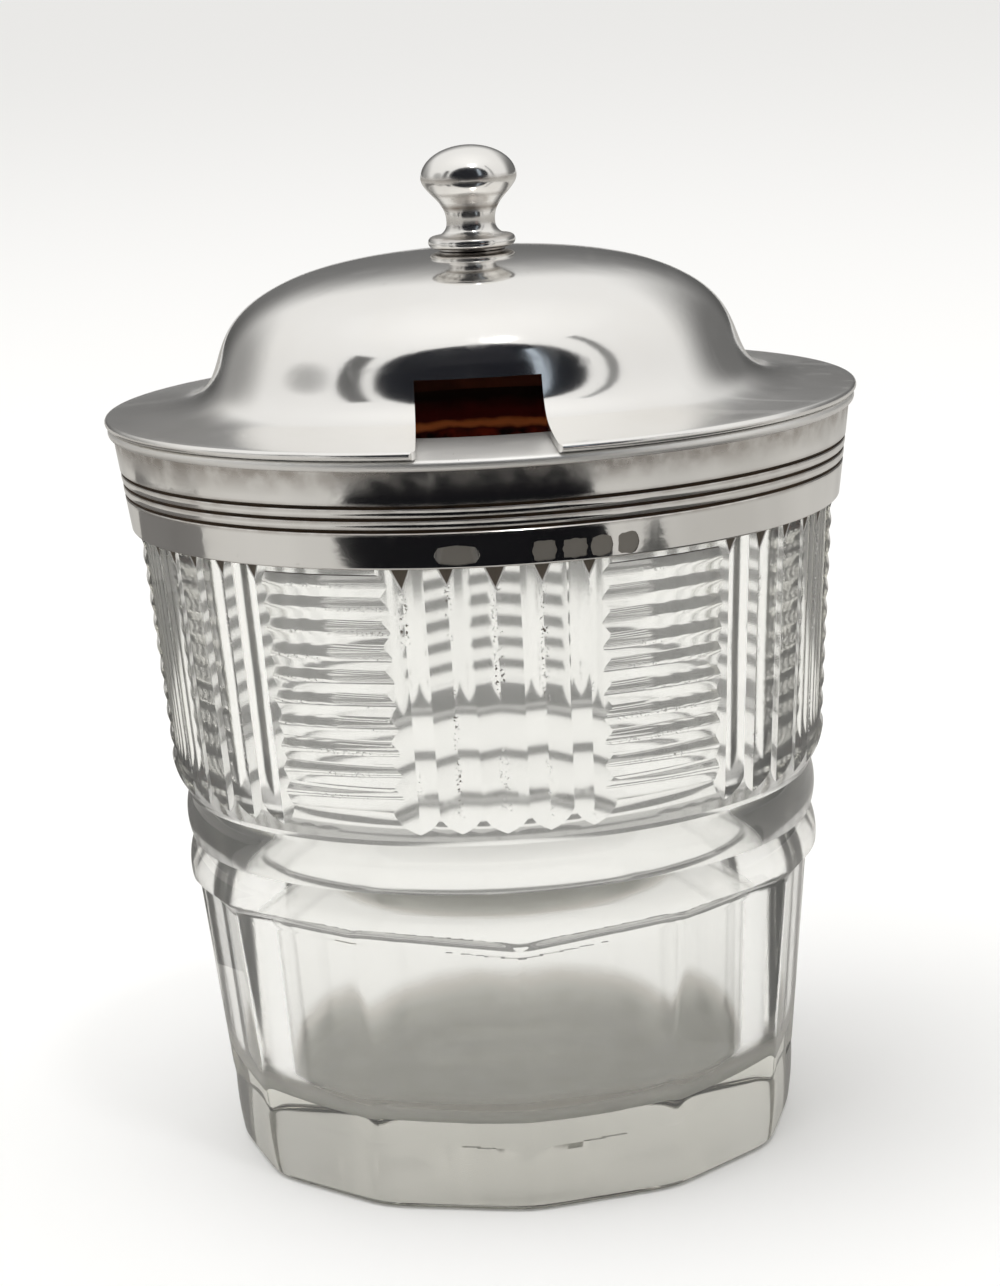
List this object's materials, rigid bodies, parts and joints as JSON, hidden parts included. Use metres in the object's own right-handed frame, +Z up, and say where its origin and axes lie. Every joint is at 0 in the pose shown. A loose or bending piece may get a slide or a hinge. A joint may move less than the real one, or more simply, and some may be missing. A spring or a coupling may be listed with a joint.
{
  "type": "mustard pot",
  "caption": "Small faceted cut-glass mustard jar with a basket-weave band, a reeded silver collar and a hinged domed lid notched for a spoon.",
  "frame": {"origin": "centre of the jar's ground base", "axes": "+Z up along the jar's axis, -Y towards the spoon notch at the front, +Y towards the hinge, +X to the right seen from the front"},
  "size_m": [0.0622, 0.0649, 0.0835],
  "materials": {
    "cut_glass": "polished cut glass with grime in the cuts",
    "plaster": "matt white bedding plaster",
    "silver": "polished silver, finely scratched and slightly tarnished",
    "pin_wire": "drawn wire"
  },
  "bodies": {
    "pot": {"glass_jar": "cut_glass", "plaster_bed": "plaster", "collar_sleeve": "silver", "collar_rim": "silver", "hinge_leaf": "silver", "hinge_pin": "pin_wire"},
    "hinged_lid": {"lid": "silver", "lid_knuckle": "silver", "finial": "silver", "finial_nut": "silver"}
  },
  "joints": [
    {"name": "lid_hinge", "type": "hinge", "parent": "pot", "child": "hinged_lid", "pos_m": [0, 0.03263, 0.06262], "axis": [-1, 0, 0], "range_deg": [0, 100]}
  ]
}
